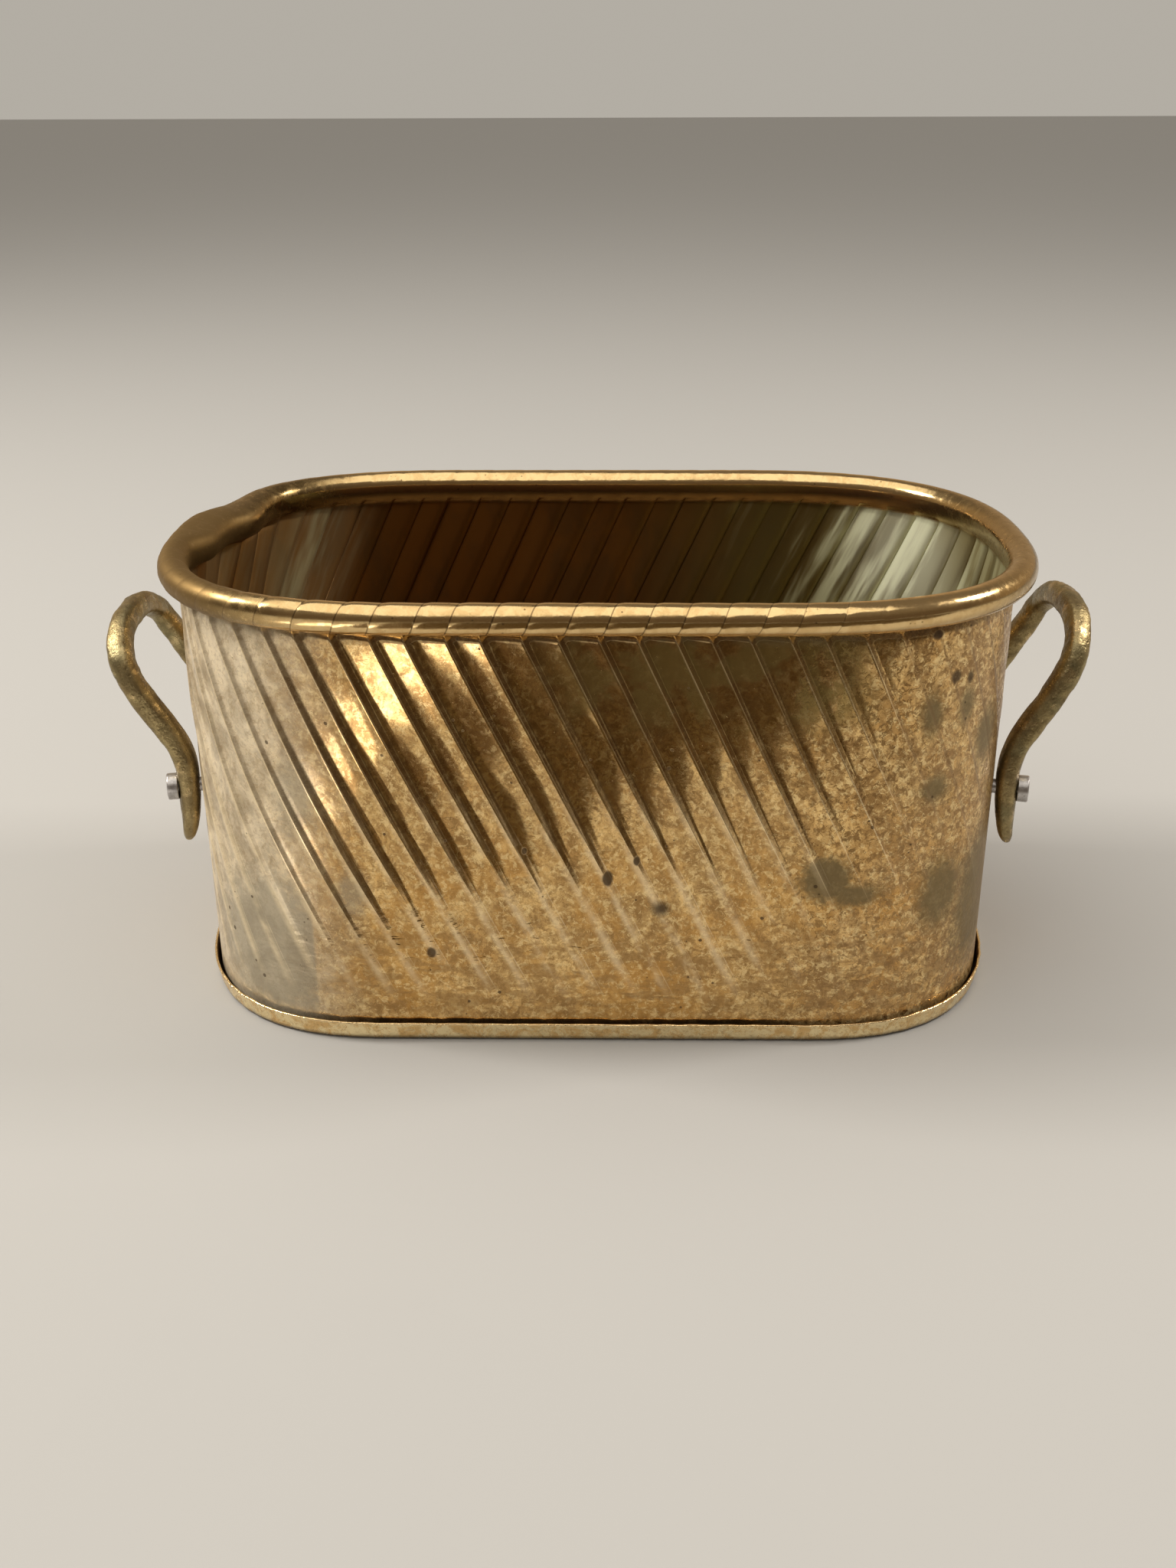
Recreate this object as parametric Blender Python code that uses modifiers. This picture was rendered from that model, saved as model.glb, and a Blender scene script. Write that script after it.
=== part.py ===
"""An oblong brass planter pot, built as a Blender scene.

The pot is a pleated brass sheet wall, rolled outward at the top round a steel wire and
set in a shallow brass pan, with a cast brass handle riveted to each end.
Units are metres, +Z is up, X runs along the pot, and the pan stands on Z = 0.
"""

import math

import bmesh
import bpy
import numpy as np
from mathutils import Matrix, Vector

# Sheet and clearances
SHEET = 0.0005  # thickness of the wall and of the pan
GAP = 0.0003  # clearance kept between pieces that touch
CORNER_POWER = 2.5  # superellipse power of every rounded corner, where 2 is a circle

# Wall: outer face of the sheet at its two ends
WALL_TOP = {"half_x": 0.0905, "half_y": 0.0513, "corner_x": 0.057, "corner_y": 0.0513}
WALL_FOOT = {"half_x": 0.0907, "half_y": 0.0506, "corner_x": 0.046, "corner_y": 0.049}
WALL_FOOT_Z = SHEET + GAP

# Rolled rim: a bead of this radius, whose centre stands this far outside the wall
ROLL_RADIUS = 0.00325
ROLL_CENTRE_OUT = 0.0012
ROLL_CENTRE_Z = 0.0975
ROLL_END_DEG = -90.0
ROLL_STEPS = 9
WIRE_RADIUS = ROLL_RADIUS - SHEET - GAP - 0.00005
WIRE_POINTS = 72
WIRE_JOINT = 0.0012  # gap between the butted ends of the wire

# Pleats: a sawtooth that leans as it climbs
PLEATS = 66
PLEAT_DEPTH = 0.0010
PLEAT_CREST = 0.82
PLEAT_LEAN = 0.46  # sideways travel for each metre of height
PLEAT_TOP_Z = 0.0905
PLEAT_LEVELS = ((0.012, 0.1), (0.030, 0.6), (0.050, 1.0), (0.070, 1.0), (PLEAT_TOP_Z, 1.0))
WORN_FROM, WORN_TO = (0.09, 0.14), (0.24, 0.30)  # shares where the pleats fade out and back in
WORN_DEPTH = 0.2  # what is left of the pleats between them
PRESSED_DEPTH = 0.15  # what is left of the pleats under a handle's foot
PRESSED_REACH = 0.010
PRESSED_TOP_Z = (0.058, 0.069)  # heights where the pressed places end
COLLAR_Z = 0.0918  # plain collar between the pleats and the bead

# Pan
PAN_LIP_HEIGHT = 0.0045
PAN_CLEARANCE = SHEET + GAP  # pan's outer face outside the wall, at the floor
PAN_FLARE = 0.0007  # how much further out the lip's edge stands
PAN_BEND = 0.0006
PAN_POINTS = 64

# Handles: a bar of changing section along a leaning arch with two feet
FOOT_Y = 0.0185
RIVET_Z = 0.0465
HANDLE_SIDES = 10
# (outward from the wall at the foot, share of FOOT_Y, height), from the tip to the crown
HANDLE_ROUTE = (
    (0.0046, 1.06, 0.0328),
    (0.0036, 1.04, 0.0375),
    (0.0032, 1.01, 0.0440),
    (0.0032, 1.00, 0.0505),
    (0.0042, 1.00, 0.0560),
    (0.0070, 0.99, 0.0620),
    (0.0104, 0.98, 0.0680),
    (0.0136, 0.95, 0.0745),
    (0.0156, 0.84, 0.0800),
    (0.0167, 0.48, 0.0845),
    (0.0168, 0.00, 0.0858),
)
# Half width and half thickness of the bar at each point of the route
HANDLE_SECTION = (
    (0.0016, 0.0011),
    (0.0036, 0.0019),
    (0.0044, 0.0024),
    (0.0044, 0.0025),
    (0.0038, 0.0026),
    (0.0031, 0.0027),
    (0.0029, 0.0027),
    (0.0029, 0.0027),
    (0.0029, 0.0027),
    (0.0029, 0.0027),
    (0.0029, 0.0027),
)
HANDLE_RISE = {"right": 0.95, "left": 0.875}  # the left arch is a little lower
HANDLE_RISE_FROM_Z = 0.050
HANDLE_BARREL_POWER = 2.8  # superellipse power of the bar's section

# Rivets
SHANK_RADIUS = 0.0016
HOLE_RADIUS = SHANK_RADIUS + GAP
TAIL_RADIUS = 0.0030
TAIL_HEIGHT = 0.0020
HEAD_RADIUS = 0.0038
HEAD_HEIGHT = 0.0015
HEAD_CLEARANCE = 0.0006  # flat head inside the hollow curve of the wall
RIVET_STEPS = 20


# ---------------------------------------------------------------- scene and materials


def clear_scene():
    for obj in list(bpy.data.objects):
        bpy.data.objects.remove(obj)


def collection(name):
    made = bpy.data.collections.new(name)
    bpy.context.scene.collection.children.link(made)
    return made


def metal(name, colour, roughness):
    material = bpy.data.materials.new(name)
    material.use_nodes = True
    shader = material.node_tree.nodes["Principled BSDF"]
    shader.inputs["Base Color"].default_value = (*colour, 1.0)
    shader.inputs["Roughness"].default_value = roughness
    shader.inputs["Metallic"].default_value = 1.0
    return material


def add_object(name, mesh, material, group):
    obj = bpy.data.objects.new(name, mesh)
    obj.data.materials.append(material)
    group.objects.link(obj)
    return obj


def finish_mesh(bm, name, smooth_below_deg):
    mesh = bpy.data.meshes.new(name)
    bm.to_mesh(mesh)
    bm.free()
    mesh.shade_smooth()
    mesh.set_sharp_from_angle(angle=math.radians(smooth_below_deg))
    return mesh


# ---------------------------------------------------------------- the plan outline


class Outline:
    """A closed plan curve with superellipse corners, read by its share of the way round.

    Share 0 is the middle of the front (-Y) side, and the share grows towards +X.
    """

    QUARTER_SAMPLES = 160

    def __init__(self, half_x, half_y, corner_x, corner_y):
        angles = np.linspace(-math.pi / 2, 0.0, self.QUARTER_SAMPLES)
        power = 2.0 / CORNER_POWER
        x = half_x - corner_x + corner_x * np.abs(np.cos(angles)) ** power
        y = -(half_y - corner_y) - corner_y * np.abs(np.sin(angles)) ** power
        quarter = np.column_stack([x, y])
        right = np.concatenate([quarter, (quarter * [1, -1])[::-1]])
        loop = np.concatenate([[[0.0, -half_y]], right, (right * [-1, 1])[::-1], [[0.0, -half_y]]])
        steps = np.linalg.norm(np.diff(loop, axis=0), axis=1)
        keep = np.concatenate([[True], steps > 1e-9])
        self.loop = loop[keep]
        lengths = np.linalg.norm(np.diff(self.loop, axis=0), axis=1)
        self.length = float(lengths.sum())
        self.shares = np.concatenate([[0.0], np.cumsum(lengths)]) / self.length

    def point(self, share):
        share = share % 1.0
        x = np.interp(share, self.shares, self.loop[:, 0])
        y = np.interp(share, self.shares, self.loop[:, 1])
        return Vector((float(x), float(y), 0.0))

    def normal(self, share):
        """Outward direction, from the chord over a short stretch each side."""
        chord = self.point(share + 0.004) - self.point(share - 0.004)
        return Vector((chord.y, -chord.x, 0.0)).normalized()

    def offset(self, share, out, z):
        place = self.point(share) + self.normal(share) * out
        place.z = z
        return place


def wall_outline(z):
    """The wall's outer face at height z, between its two end outlines."""
    climb = min(max((z - WALL_FOOT_Z) / (ROLL_CENTRE_Z - WALL_FOOT_Z), 0.0), 1.0)
    return Outline(**{k: WALL_FOOT[k] + climb * (WALL_TOP[k] - WALL_FOOT[k]) for k in WALL_TOP})


def share_at_y(outline, y):
    """The share where the right-hand end of the outline passes y."""
    low, high = 0.15, 0.35
    for _ in range(40):
        middle = (low + high) / 2
        low, high = (middle, high) if outline.point(middle).y < y else (low, middle)
    return (low + high) / 2


FRONT_FOOT_SHARE = share_at_y(wall_outline(RIVET_Z), -FOOT_Y)
REAR_FOOT_SHARE = share_at_y(wall_outline(RIVET_Z), FOOT_Y)
FOOT_SHARES = [turn + foot for turn in (0.0, 0.5) for foot in (FRONT_FOOT_SHARE, REAR_FOOT_SHARE)]


# ---------------------------------------------------------------- lofts


def loft(bm, rings):
    """Quads between rings of equal length, facing out when the rings climb anticlockwise."""
    made = [[bm.verts.new(place) for place in ring] for ring in rings]
    for lower, upper in zip(made, made[1:]):
        for i in range(len(lower)):
            j = (i + 1) % len(lower)
            bm.faces.new((lower[i], lower[j], upper[j], upper[i]))
    return made


def solidify(obj):
    """Gives an outward-facing surface its sheet thickness, inward."""
    shell = obj.modifiers.new("sheet thickness", "SOLIDIFY")
    shell.thickness = SHEET
    shell.offset = -1.0


def drill(obj, cutters):
    for cutter in cutters:
        hole = obj.modifiers.new("rivet hole", "BOOLEAN")
        hole.operation = "DIFFERENCE"
        hole.object = cutter


# ---------------------------------------------------------------- the wall


def fade(value, start, end):
    """0 before start, 1 after end, smooth between them."""
    t = min(max((value - start) / (end - start), 0.0), 1.0)
    return t * t * (3 - 2 * t)


def pleat_strength(share, z):
    """Share of the full pleat depth: less where the wall is worn, and under the handles' feet."""
    share = share % 1.0
    worn = fade(share, *WORN_FROM) * (1.0 - fade(share, *WORN_TO))
    strength = 1.0 - (1.0 - WORN_DEPTH) * worn
    low = 1.0 - fade(z, *PRESSED_TOP_Z)
    for foot in FOOT_SHARES:
        away = (share - foot) * wall_outline(z).length / PRESSED_REACH
        strength *= 1.0 - (1.0 - PRESSED_DEPTH) * low * math.exp(-(away**2))
    return strength


def pleat_columns():
    """(share of the way round, height of the sawtooth from 0 to 1) of each column."""
    columns = []
    for pleat in range(PLEATS):
        columns.append((pleat / PLEATS, 0.0))
        columns.append(((pleat + PLEAT_CREST) / PLEATS, 1.0))
    return columns


def pleat_ring(z, depth):
    outline = wall_outline(z)
    lean = PLEAT_LEAN * (ROLL_CENTRE_Z - z) / outline.length
    ring = []
    for share, height in pleat_columns():
        out = PLEAT_DEPTH * depth * height * pleat_strength(share + lean, z)
        ring.append(outline.offset(share + lean, out, z))
    return ring


def rim_profile():
    """(outward, height) of the sheet from the collar over the bead to its edge below."""
    radius = ROLL_RADIUS - SHEET
    profile = [
        (ROLL_CENTRE_OUT - 0.62 * radius, ROLL_CENTRE_Z - 1.14 * radius),
        (ROLL_CENTRE_OUT - 0.93 * radius, ROLL_CENTRE_Z - 0.52 * radius),
    ]
    for step in range(ROLL_STEPS + 1):
        angle = math.radians(180.0 + (ROLL_END_DEG - 180.0) * step / ROLL_STEPS)
        out = ROLL_CENTRE_OUT + radius * math.cos(angle)
        profile.append((out, ROLL_CENTRE_Z + radius * math.sin(angle)))
    return profile


def rim_ring(out, z):
    outline = wall_outline(ROLL_CENTRE_Z)
    return [outline.offset(share, out, z) for share, _ in pleat_columns()]


def make_wall(brass, group):
    rings = [pleat_ring(WALL_FOOT_Z, 0.0)]
    rings += [pleat_ring(z, depth) for z, depth in PLEAT_LEVELS]
    rings.append(pleat_ring(COLLAR_Z, 0.0))
    rings += [rim_ring(out, z) for out, z in rim_profile()]
    bm = bmesh.new()
    loft(bm, rings)
    wall = add_object("body_wall", finish_mesh(bm, "body_wall", 25), brass, group)
    solidify(wall)
    return wall


def make_rim_wire(steel, group):
    """Steel wire inside the rolled rim, butted at the left end."""
    outline = wall_outline(ROLL_CENTRE_Z)
    spline_data = bpy.data.curves.new("rim_wire", "CURVE")
    spline_data.dimensions = "3D"
    spline_data.bevel_depth = WIRE_RADIUS
    spline_data.bevel_resolution = 2
    spline_data.use_fill_caps = True
    spline = spline_data.splines.new("POLY")
    spline.points.add(WIRE_POINTS)
    joint = WIRE_JOINT / outline.length
    for i, point in enumerate(spline.points):
        share = 0.75 + joint / 2 + (1.0 - joint) * i / WIRE_POINTS
        place = outline.offset(share, ROLL_CENTRE_OUT, ROLL_CENTRE_Z)
        point.co = (*place, 1.0)
    return add_object("rim_wire", spline_data, steel, group)


# ---------------------------------------------------------------- the pan


def pan_ring(out, z):
    outline = wall_outline(WALL_FOOT_Z)
    return [outline.offset(i / PAN_POINTS, out, z) for i in range(PAN_POINTS)]


def make_pan(brass, group):
    rings = [
        pan_ring(PAN_CLEARANCE - PAN_BEND, 0.0),
        pan_ring(PAN_CLEARANCE, PAN_BEND),
        pan_ring(PAN_CLEARANCE + PAN_FLARE, PAN_LIP_HEIGHT),
    ]
    bm = bmesh.new()
    made = loft(bm, rings)
    bm.faces.new(reversed(made[0]))
    pan = add_object("base_pan", finish_mesh(bm, "base_pan", 35), brass, group)
    solidify(pan)
    return pan


# ---------------------------------------------------------------- the handles


def foot_frame(side_y):
    """Place on the wall's valley surface, and outward direction, where a right foot is riveted."""
    outline = wall_outline(RIVET_Z)
    share = FRONT_FOOT_SHARE if side_y < 0 else REAR_FOOT_SHARE
    place = outline.point(share)
    place.z = RIVET_Z
    return place, outline.normal(share)


def smooth_route(points, steps_each):
    """Catmull-Rom points through the given ones."""
    ends = [points[0] * 2 - points[1], *points, points[-1] * 2 - points[-2]]
    route = []
    for a, b, c, d in zip(ends, ends[1:], ends[2:], ends[3:]):
        for step in range(steps_each):
            t = step / steps_each
            route.append(
                0.5
                * (
                    2 * b
                    + (c - a) * t
                    + (2 * a - 5 * b + 4 * c - d) * t**2
                    + (3 * b - a - 3 * c + d) * t**3
                )
            )
    route.append(points[-1])
    return route


def handle_stations(rise):
    """(place, half width, half thickness) from the front tip over the crown to the rear tip."""
    wall_x = foot_frame(-1)[0].x
    half = []
    for (out, share, z), (width, thick) in zip(HANDLE_ROUTE, HANDLE_SECTION):
        z += max(z - HANDLE_RISE_FROM_Z, 0.0) * (rise - 1.0)
        half.append(np.array((wall_x + out, -share * FOOT_Y, z, width, thick)))
    mirrored = [h * (1, -1, 1, 1, 1) for h in reversed(half[:-1])]
    return smooth_route(half + mirrored, 2)


def bar_ring(place, forward, outward, width, thick):
    outward = (outward - forward * outward.dot(forward)).normalized()
    across = outward.cross(forward)
    ring = []
    for i in range(HANDLE_SIDES):
        angle = 2 * math.pi * (i + 0.5) / HANDLE_SIDES
        c, s = math.cos(angle), math.sin(angle)
        power = 2.0 / HANDLE_BARREL_POWER
        u = width * math.copysign(abs(c) ** power, c)
        v = thick * math.copysign(abs(s) ** power, s)
        ring.append(place + across * u + outward * v)
    return ring


def outward_at(place):
    """Which way the bar's flat side faces: square to the wall at a foot, leaning above."""
    lean = min(max((place.z - 0.053) / 0.014, 0.0), 1.0)
    foot = foot_frame(-1 if place.y < 0 else 1)[1]
    return foot.lerp(Vector((1.0, 0.0, -0.35)), lean)


def handle_mesh(rise):
    """A handle at the right-hand end, closed at both tips."""
    stations = handle_stations(rise)
    places = [Vector(s[:3]) for s in stations]
    rings = []
    for i, place in enumerate(places):
        forward = (places[min(i + 1, len(places) - 1)] - places[max(i - 1, 0)]).normalized()
        rings.append(bar_ring(place, forward, outward_at(place), stations[i][3], stations[i][4]))
    bm = bmesh.new()
    made = loft(bm, rings)
    bm.faces.new(reversed(made[0]))
    bm.faces.new(made[-1])
    return finish_mesh(bm, "handle", 35)


def make_handle(name, side, turn, brass, group):
    handle = add_object(name, handle_mesh(HANDLE_RISE[side]), brass, group)
    handle.rotation_euler.z = turn
    return handle


# ---------------------------------------------------------------- the rivets


def foot_depth():
    """Distance from the wall's valley surface to the foot's outer face at the rivet."""
    outs = [out for out, _, _ in HANDLE_ROUTE]
    heights = [z for _, _, z in HANDLE_ROUTE]
    thicks = [thick for _, thick in HANDLE_SECTION]
    along = float(np.interp(RIVET_Z, heights, outs)) * foot_frame(1)[1].x
    return along + float(np.interp(RIVET_Z, heights, thicks))


def rivet_profile():
    """(radius, height) down the rivet's side. Height 0 is the wall's valley surface."""
    under_tail = foot_depth() + GAP
    tail_top = under_tail + TAIL_HEIGHT
    under_head = -(SHEET + HEAD_CLEARANCE)
    chamfer = 0.0003
    dome = []
    for step in range(5):
        angle = math.pi / 2 * step / 4
        dome.append((HEAD_RADIUS * math.cos(angle), under_head - HEAD_HEIGHT * math.sin(angle)))
    return [
        (0.0, tail_top),
        (TAIL_RADIUS - chamfer, tail_top),
        (TAIL_RADIUS, tail_top - chamfer),
        (TAIL_RADIUS, under_tail),
        (SHANK_RADIUS, under_tail),
        (SHANK_RADIUS, under_head),
        *dome[:-1],
        (0.0, under_head - HEAD_HEIGHT),
    ]


def place_on_wall(obj, turn, side_y):
    """Stands obj's +Z along the wall's outward direction at a rivet, on the end that turn picks."""
    place, outward = foot_frame(side_y)
    spin = Matrix.Rotation(turn, 4, "Z")
    aim = outward.to_track_quat("Z", "Y").to_matrix().to_4x4()
    obj.matrix_world = spin @ Matrix.Translation(place) @ aim


def make_rivet(name, turn, side_y, alloy, group):
    mesh = bpy.data.meshes.new(name)
    profile = rivet_profile()
    edges = [(i, i + 1) for i in range(len(profile) - 1)]
    mesh.from_pydata([(radius, 0.0, z) for radius, z in profile], edges, [])
    rivet = add_object(name, mesh, alloy, group)
    turned = rivet.modifiers.new("turned", "SCREW")
    turned.steps = turned.render_steps = RIVET_STEPS
    turned.use_merge_vertices = True
    turned.merge_threshold = 0.00005
    turned.use_smooth_shade = False
    place_on_wall(rivet, turn, side_y)
    return rivet


def make_hole_cutter(name, turn, side_y, group):
    bm = bmesh.new()
    bmesh.ops.create_cone(
        bm, cap_ends=True, segments=RIVET_STEPS, radius1=HOLE_RADIUS, radius2=HOLE_RADIUS, depth=0.024
    )
    cutter = bpy.data.objects.new(name, finish_mesh(bm, name, 35))
    group.objects.link(cutter)
    cutter.hide_render = True
    cutter.display_type = "WIRE"
    place_on_wall(cutter, turn, side_y)
    return cutter


# ---------------------------------------------------------------- assembly


def main():
    clear_scene()
    group = collection("brass_planter_pot")
    tools = collection("cutters")
    brass = metal("aged sheet brass", (0.56, 0.38, 0.15), 0.28)
    cast_brass = metal("cast brass", (0.35, 0.25, 0.10), 0.45)
    steel = metal("rim wire steel", (0.42, 0.40, 0.38), 0.5)
    alloy = metal("rivet aluminium", (0.60, 0.60, 0.60), 0.4)

    wall = make_wall(brass, group)
    make_rim_wire(steel, group)
    make_pan(brass, group)
    for end, turn in (("right", 0.0), ("left", math.pi)):
        handle = make_handle(f"handle_{end}", end, turn, cast_brass, group)
        for side_y in (-1, 1):
            place = "front" if side_y * math.cos(turn) < 0 else "rear"
            cutter = make_hole_cutter(f"hole_{end}_{place}", turn, side_y, tools)
            drill(wall, [cutter])
            drill(handle, [cutter])
            make_rivet(f"rivet_{end}_{place}", turn, side_y, alloy, group)


main()
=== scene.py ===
"""The looks of the oblong brass planter pot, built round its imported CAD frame.

Units are metres, +Z is up, X runs along the pot. Sheet metal is swept along the pot's
plan outline; a place round the outline is its share of the way round, from the middle
of the front (-Y) side and growing towards +X.
"""

import math

import bpy
import numpy as np
from mathutils import Matrix, Vector


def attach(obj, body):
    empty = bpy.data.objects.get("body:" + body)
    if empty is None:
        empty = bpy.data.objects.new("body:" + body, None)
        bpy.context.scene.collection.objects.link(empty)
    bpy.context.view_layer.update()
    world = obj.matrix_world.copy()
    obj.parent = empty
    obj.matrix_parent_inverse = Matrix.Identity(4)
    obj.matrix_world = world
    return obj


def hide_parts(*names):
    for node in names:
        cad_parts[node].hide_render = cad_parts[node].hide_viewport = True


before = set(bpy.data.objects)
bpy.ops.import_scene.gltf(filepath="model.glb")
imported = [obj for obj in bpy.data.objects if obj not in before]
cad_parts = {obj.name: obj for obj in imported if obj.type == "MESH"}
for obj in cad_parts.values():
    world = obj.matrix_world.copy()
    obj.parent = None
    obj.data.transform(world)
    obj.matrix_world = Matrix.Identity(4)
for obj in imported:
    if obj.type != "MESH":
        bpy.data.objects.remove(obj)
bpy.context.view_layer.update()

MM = 0.001

# ------------------------------------------------------------------ dimensions
SHEET = 0.5 * MM
GAP = 0.3 * MM
CORNER_POWER = 2.5
WALL_TOP = np.array([90.5, 51.3, 57.0, 51.3]) * MM
WALL_FOOT = np.array([90.7, 50.6, 46.0, 49.0]) * MM
WALL_FOOT_Z = SHEET + GAP
ROLL_RADIUS = 3.25 * MM
ROLL_OUT = 1.2 * MM
ROLL_Z = 97.5 * MM
COLLAR_Z = 91.8 * MM
WIRE_RADIUS = 2.35 * MM
PLEATS = 66
PLEAT_DEPTH = 1.0 * MM
PLEAT_LEAN = 0.46
PERIMETER = 490 * MM
PAN_LIP = 4.5 * MM
FOOT_Y = 18.5 * MM
RIVET_Z = 46.5 * MM
RIVET_SHANK = 1.6 * MM
RIVET_TAIL = 3.0 * MM
RIVET_TAIL_EDGE = 0.35 * MM
RIVET_HEAD = 3.8 * MM
RIVET_HEAD_RISE = 1.5 * MM

rng = np.random.default_rng(7)


# ------------------------------------------------------------------ number helpers
def smooth(a, b, x):
    """0 up to a and 1 from b on, with a smooth step between them."""
    t = np.clip((np.asarray(x, float) - a) / (b - a), 0.0, 1.0)
    return t * t * (3 - 2 * t)


def bump(x, centre, width):
    return np.exp(-(((np.asarray(x, float) - centre) / width) ** 2))


def waves(seed, count, low, high, *coords):
    """Smooth repeatable noise of about unit size, from sines with frequencies between low and high."""
    r = np.random.default_rng(seed)
    total = 0.0
    for _ in range(count):
        direction = r.normal(size=len(coords))
        direction /= np.linalg.norm(direction)
        frequency = math.exp(r.uniform(math.log(low), math.log(high)))
        phase = r.uniform(0, 2 * math.pi)
        total = total + np.sin(
            2 * math.pi * frequency * sum(d * c for d, c in zip(direction, coords)) + phase
        )
    return total / math.sqrt(count)


# ------------------------------------------------------------------ plan outline
class Outline:
    """A rounded rectangle: half its length and width, and how far its corners reach."""

    SAMPLES = 400

    def __init__(self, sizes):
        half_x, half_y, corner_x, corner_y = sizes
        a = np.linspace(-math.pi / 2, 0.0, self.SAMPLES)
        power = 2.0 / CORNER_POWER
        x = half_x - corner_x + corner_x * np.abs(np.cos(a)) ** power
        y = -(half_y - corner_y) - corner_y * np.abs(np.sin(a)) ** power
        quarter = np.column_stack([x, y])
        right = np.concatenate([quarter, (quarter * [1, -1])[::-1]])
        loop = np.concatenate([[[0.0, -half_y]], right, (right * [-1, 1])[::-1], [[0.0, -half_y]]])
        keep = np.concatenate([[True], np.linalg.norm(np.diff(loop, axis=0), axis=1) > 1e-9])
        self.loop = loop[keep]
        steps = np.linalg.norm(np.diff(self.loop, axis=0), axis=1)
        self.length = steps.sum()
        self.shares = np.concatenate([[0.0], np.cumsum(steps)]) / self.length

    def point(self, share):
        share = np.mod(share, 1.0)
        return np.stack(
            [np.interp(share, self.shares, self.loop[:, i]) for i in (0, 1)], axis=-1
        )

    def normal(self, share, reach=0.006):
        chord = self.point(share + reach) - self.point(share - reach)
        out = np.stack([chord[..., 1], -chord[..., 0]], axis=-1)
        return out / np.linalg.norm(out, axis=-1, keepdims=True)


def outline_at(z):
    """The wall's plan outline at a height, from its foot to the rim."""
    climb = min(max((z - WALL_FOOT_Z) / (ROLL_Z - WALL_FOOT_Z), 0.0), 1.0)
    return Outline(WALL_FOOT + climb * (WALL_TOP - WALL_FOOT))


RIM_OUTLINE = outline_at(ROLL_Z)


# ------------------------------------------------------------------ dents and waviness
def deform(points):
    """The knocks of age: a squashed stretch of rim at the left rear and a slightly wavy wall."""
    p = points.copy()
    x, y, z = p[:, 0], p[:, 1], p[:, 2]
    out = p[:, :2] / (np.linalg.norm(p[:, :2] / WALL_TOP[:2], axis=1, keepdims=True) + 1e-9)
    out = out / (np.linalg.norm(out, axis=1, keepdims=True) + 1e-9)
    height = smooth(30 * MM, 95 * MM, z)
    # the rim's knock, pushed in and down
    knock = bump(x, -84 * MM, 10 * MM) * bump(y, 24 * MM, 9 * MM)
    push = knock * height
    p[:, 0] += 2.6 * MM * push
    p[:, 1] -= 1.8 * MM * push
    p[:, 2] -= 0.8 * MM * push * smooth(85 * MM, 96 * MM, z)
    # long waves that the hand-worked sheet keeps, none at the foot or the rivets
    free = smooth(6 * MM, 25 * MM, z) * (1 - smooth(90 * MM, 96 * MM, z))
    side = 1 - smooth(72 * MM, 82 * MM, np.abs(x))
    swell = waves(11, 9, 8.0, 22.0, x, y, z)
    p[:, :2] += out * (0.16 * MM * swell * free * side)[:, None]
    return p


# ------------------------------------------------------------------ meshes
def mesh_object(name, verts, faces, smooth_deg=None, attributes=None):
    mesh = bpy.data.meshes.new(name)
    mesh.from_pydata([tuple(v) for v in verts], [], faces)
    mesh.update()
    for key, values in (attributes or {}).items():
        layer = mesh.attributes.new(key, "FLOAT", "POINT")
        layer.data.foreach_set("value", np.asarray(values, np.float32))
    mesh.shade_smooth()
    if smooth_deg:
        mesh.set_sharp_from_angle(angle=math.radians(smooth_deg))
    obj = bpy.data.objects.new(name, mesh)
    bpy.context.scene.collection.objects.link(obj)
    return obj


def grid_faces(rows, columns):
    """Faces of a band whose every row closes on itself."""
    faces = []
    for r in range(rows - 1):
        a, b = r * columns, (r + 1) * columns
        for c in range(columns):
            d = (c + 1) % columns
            faces.append((a + c, a + d, b + d, b + c))
    return faces


def end_share(outline, y):
    """The share where the right-hand end of the outline passes y."""
    low, high = 0.15, 0.35
    for _ in range(50):
        middle = (low + high) / 2
        low, high = (middle, high) if outline.point(middle)[1] < y else (low, middle)
    return (low + high) / 2


FRONT_FOOT = end_share(outline_at(RIVET_Z), -FOOT_Y)
REAR_FOOT = end_share(outline_at(RIVET_Z), FOOT_Y)
FOOT_SHARES = [turn + share for turn in (0.0, 0.5) for share in (FRONT_FOOT, REAR_FOOT)]


# ------------------------------------------------------------------ the wall
CREST = 0.80  # where in its pitch a pleat is highest
CREST_WIDTH = 0.03
CREASE_DEPTH = 0.17 * MM
COLLAR_LENGTH = 3 * MM
RIM_LEAN = 0.42
PRESS_IN = 3.4 * MM
PRESS_DOWN = 0.8 * MM
PHASES = np.array([0.0, 0.14, 0.30, 0.46, 0.62, 0.74, 0.80, 0.825, 0.865, 0.93])


def pleat_height(phase):
    """Height over one pitch: a scoop that climbs to a crest, then a short step down."""
    climb = np.clip(phase / CREST, 0, 1)
    fall = np.clip((phase - CREST) / (1 - CREST), 0, 1)
    return np.where(phase <= CREST, 0.34 * climb + 0.66 * climb**2.0, (1 - fall) ** 1.5)


def pleat_strength(share, z):
    """How deep the pleats are: full on the front's left, worn away at its right and near the foot."""
    s = np.mod(share + 0.5, 1.0) - 0.5
    foot = 0.10 + 0.90 * smooth(10 * MM, 60 * MM, z + 4 * MM * waves(3, 4, 2, 6, s))
    worn = smooth(0.108, 0.148, s + 0.35 * (z - 70 * MM)) * (1 - smooth(0.24, 0.30, s))
    strength = foot * (1 - 0.85 * worn) * (1 - 0.42 * bump(s, -0.20, 0.065))
    low = 1 - smooth(58 * MM, 69 * MM, z)
    for foot_share in FOOT_SHARES:
        away = (np.mod(share, 1.0) - foot_share) * PERIMETER / (10 * MM)
        strength = strength * (1 - 0.85 * low * np.exp(-(away**2)))
    return strength


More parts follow.
